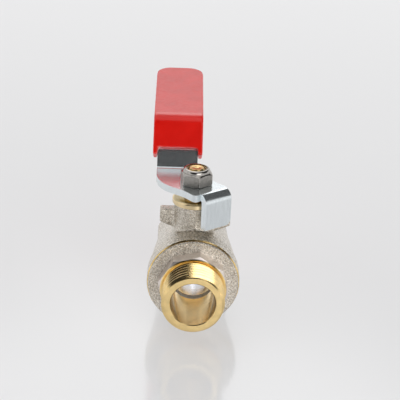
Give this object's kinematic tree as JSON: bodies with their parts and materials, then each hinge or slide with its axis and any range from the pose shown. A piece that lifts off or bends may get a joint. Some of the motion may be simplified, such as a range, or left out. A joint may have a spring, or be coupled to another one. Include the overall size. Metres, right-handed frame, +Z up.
{
  "type": "lever ball valve",
  "caption": "Quarter-turn lever ball valve for a half-inch pipe: plated forged body, male and female threaded ends, offset sheet-metal handle with a dipped plastic grip.",
  "frame": {"origin": "centre of the ball, where the pipe axis meets the stem axis", "axes": "+Y along the pipe from the male end to the female end, +Z up the stem; the open handle points along +Y"},
  "size_m": [0.0313, 0.1036, 0.0636],
  "materials": {
    "nickel_forging": "blasted forged brass with matt nickel plating; machined edges show brass",
    "connector_brass": "bare turned brass on the thread, bore and cone; nickel plating on the wrench flats and flange",
    "ball_chrome": "polished chrome plating",
    "ptfe": "white PTFE, waxy",
    "stem_brass": "bare turned brass",
    "gland_brass": "turned brass, bright",
    "seal_rubber": "black rubber",
    "zinc_sheet": "pressed sheet steel with bright zinc plating",
    "red_vinyl": "glossy dipped red vinyl",
    "zinc_nut": "bright zinc plated steel",
    "nylon": "off-white nylon"
  },
  "bodies": {
    "valve_body": {"body": "nickel_forging", "end_connector": "connector_brass", "seat_front": "ptfe", "seat_rear": "ptfe", "thrust_washer": "ptfe", "packing_lower": "ptfe", "packing_upper": "ptfe", "gland_nut": "gland_brass"},
    "handle": {"stem": "stem_brass", "stem_o_ring": "seal_rubber", "lever": "zinc_sheet", "grip": "red_vinyl", "lock_nut": "zinc_nut", "lock_nut_insert": "nylon"},
    "ball": {"ball": "ball_chrome"}
  },
  "joints": [
    {"name": "lever_turn", "type": "hinge", "parent": "valve_body", "child": "handle", "pos_m": [0, 0, 0], "axis": [0, 0, 1], "range_deg": [-90, 0]},
    {"name": "ball_turn", "type": "hinge", "parent": "valve_body", "child": "ball", "pos_m": [0, 0, 0], "axis": [0, 0, 1], "range_deg": [-90, 0]}
  ],
  "couplings": [
    {"joint": "ball_turn", "follows": "lever_turn", "ratio": 1}
  ]
}
